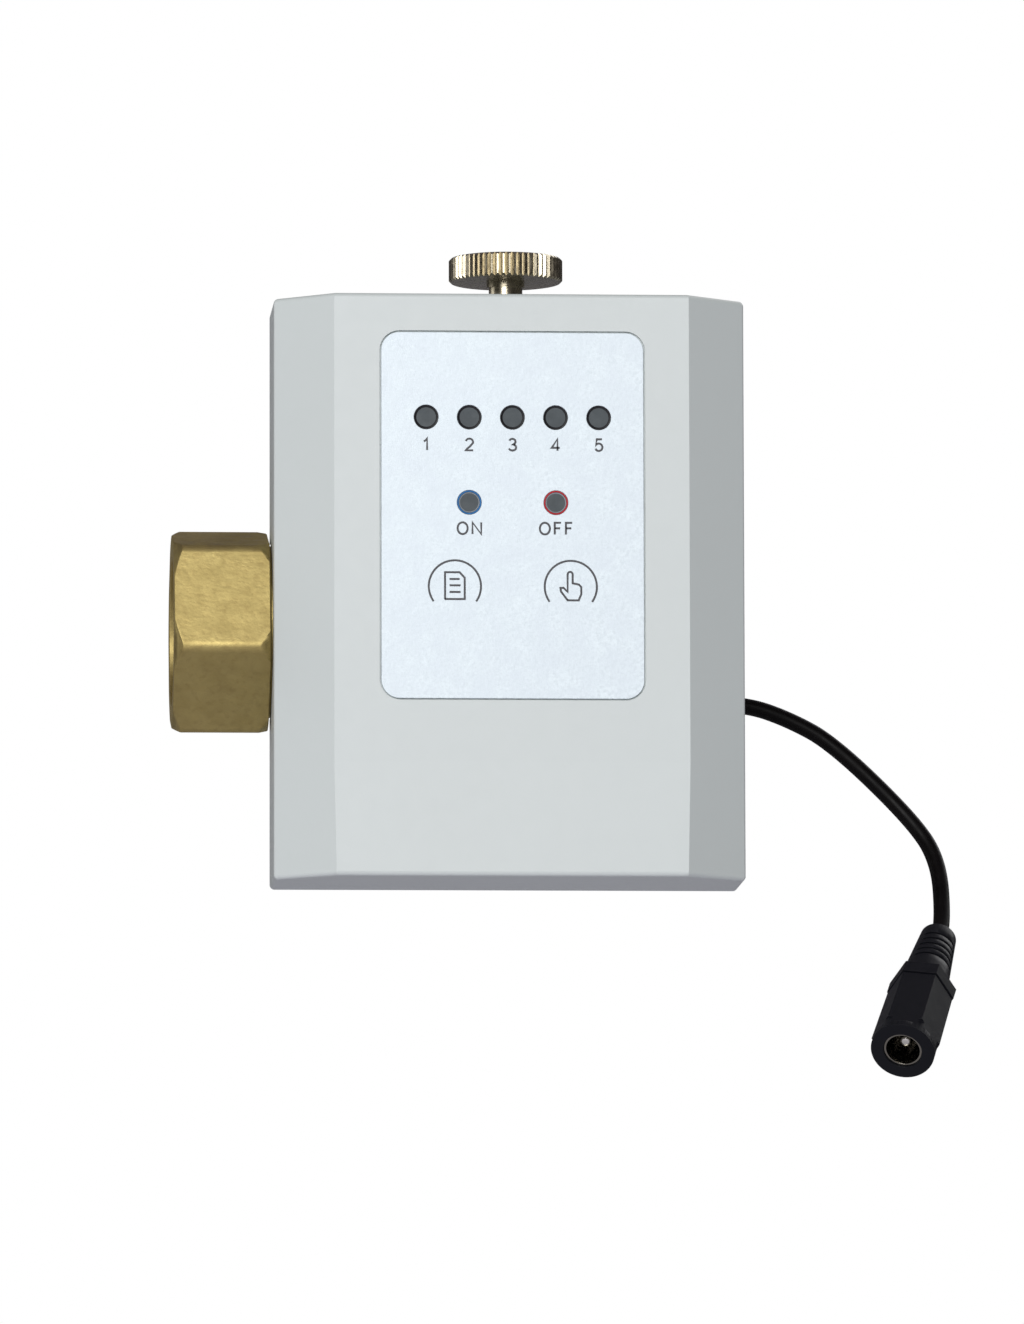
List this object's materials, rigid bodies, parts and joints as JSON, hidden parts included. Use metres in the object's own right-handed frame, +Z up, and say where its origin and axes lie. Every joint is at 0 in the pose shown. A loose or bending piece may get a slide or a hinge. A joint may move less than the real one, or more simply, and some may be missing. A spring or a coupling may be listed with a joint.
{
  "type": "smart water valve",
  "caption": "Motor-driven brass ball valve in a pale plastic controller case, with a label panel of lamps and keys, a hand knob on top and a short DC power lead.",
  "frame": {"origin": "centre of the inlet port's mouth, on the pipe axis", "axes": "+X along the pipe from inlet to outlet, +Y to the back of the case, +Z up along the valve stem to the hand knob; the lamps and keys face -Y"},
  "size_m": [0.1278, 0.0503, 0.1351],
  "materials": {
    "case_plastic": "fine satin, pale grey-white",
    "label_film": "silver sparkle film",
    "dark_lens": "smoked, clear",
    "blue_ring": "gloss",
    "red_ring": "gloss",
    "brass": "forged and turned",
    "knob_brass": "turned and knurled",
    "ball_chrome": "polished",
    "steel": "plain",
    "motor_metal": "plain",
    "seat_white": "white fluoropolymer",
    "gear_plastic": "natural acetal",
    "key_plastic": "plain",
    "black_rubber": "matt black",
    "black_plastic": "fine satin black",
    "board_green": "solder mask",
    "led_white": "clear",
    "magnet": "nickel plated",
    "contact_metal": "nickel plated"
  },
  "bodies": {
    "case": {"front_cover": "case_plastic", "rear_housing": "case_plastic", "label_plate": "label_film", "zone_lenses": "dark_lens", "on_lens": "dark_lens", "off_lens": "dark_lens", "on_ring": "blue_ring", "off_ring": "red_ring", "inlet_adapter": "brass", "valve_body": "brass", "packing_nut": "brass", "lower_plate": "steel", "upper_plate": "steel", "gearbox_posts": "steel", "idler_axle": "steel", "cover_screws": "steel", "body_screws": "steel", "board_screws": "steel", "plate_screws": "steel", "motor_screws": "steel", "drive_motor": "motor_metal", "motor_gearhead": "motor_metal", "inlet_seat": "seat_white", "outlet_seat": "seat_white", "thrust_washer": "seat_white", "shaft_bush": "key_plastic", "adapter_o_ring": "black_rubber", "cord_grommet": "black_rubber", "power_cord": "black_rubber", "jack_strain_relief": "black_rubber", "inner_lead": "black_rubber", "motor_leads": "black_rubber", "jack_body": "black_plastic", "tact_switches": "black_plastic", "buzzer": "black_plastic", "microcontroller": "black_plastic", "board_sockets": "black_plastic", "control_board": "board_green", "radio_module": "board_green", "sensor_board": "board_green", "indicator_leds": "led_white", "jack_sleeve": "contact_metal", "jack_pin": "contact_metal"},
    "stem": {"ball": "ball_chrome", "valve_stem": "steel", "stem_o_rings": "black_rubber", "position_disc": "gear_plastic", "position_magnet": "magnet", "clutch_spring": "steel"},
    "output_gear": {"output_gear": "gear_plastic"},
    "idler_gear": {"idler_gear": "gear_plastic"},
    "motor_rotor": {"motor_pinion": "gear_plastic", "motor_shaft": "steel"},
    "knob": {"hand_knob": "knob_brass", "knob_shaft": "knob_brass", "clutch_pin": "steel"},
    "left_key": {"left_key": "key_plastic", "left_switch_button": "black_plastic"},
    "right_key": {"right_key": "key_plastic", "right_switch_button": "black_plastic"}
  },
  "joints": [
    {"name": "valve_turn", "type": "hinge", "parent": "case", "child": "stem", "pos_m": [0.05448, 0, 0], "axis": [0, 0, -1], "range_deg": [0, 90]},
    {"name": "output_gear_turn", "type": "hinge", "parent": "case", "child": "output_gear", "pos_m": [0.05448, 0, 0], "axis": [0, 0, -1], "range_deg": [0, 90]},
    {"name": "idler_gear_turn", "type": "hinge", "parent": "case", "child": "idler_gear", "pos_m": [0.0376, 0.00916, 0], "axis": [0, 0, -1], "range_deg": [-321.5, 0]},
    {"name": "motor_turn", "type": "hinge", "parent": "case", "child": "motor_rotor", "pos_m": [0.02781, 0.00123, 0], "axis": [0, 0, -1], "range_deg": [0, 643]},
    {"name": "knob_press", "type": "slide", "parent": "stem", "child": "knob", "axis": [0, 0, -1], "range_m": [0, 0.0035], "stiffness_N_per_m": 1200, "springref_m": -0.002, "deforming": ["clutch_spring"]},
    {"name": "left_key_press", "type": "slide", "parent": "case", "child": "left_key", "axis": [0, 1, 0], "range_m": [0, 0.0003], "stiffness_N_per_m": 4000, "springref_m": -0.0001},
    {"name": "right_key_press", "type": "slide", "parent": "case", "child": "right_key", "axis": [0, 1, 0], "range_m": [0, 0.0003], "stiffness_N_per_m": 4000, "springref_m": -0.0001}
  ],
  "couplings": [
    {"joint": "output_gear_turn", "follows": "valve_turn", "ratio": 1},
    {"joint": "idler_gear_turn", "follows": "valve_turn", "ratio": -3.5714},
    {"joint": "motor_turn", "follows": "valve_turn", "ratio": 7.1429}
  ]
}
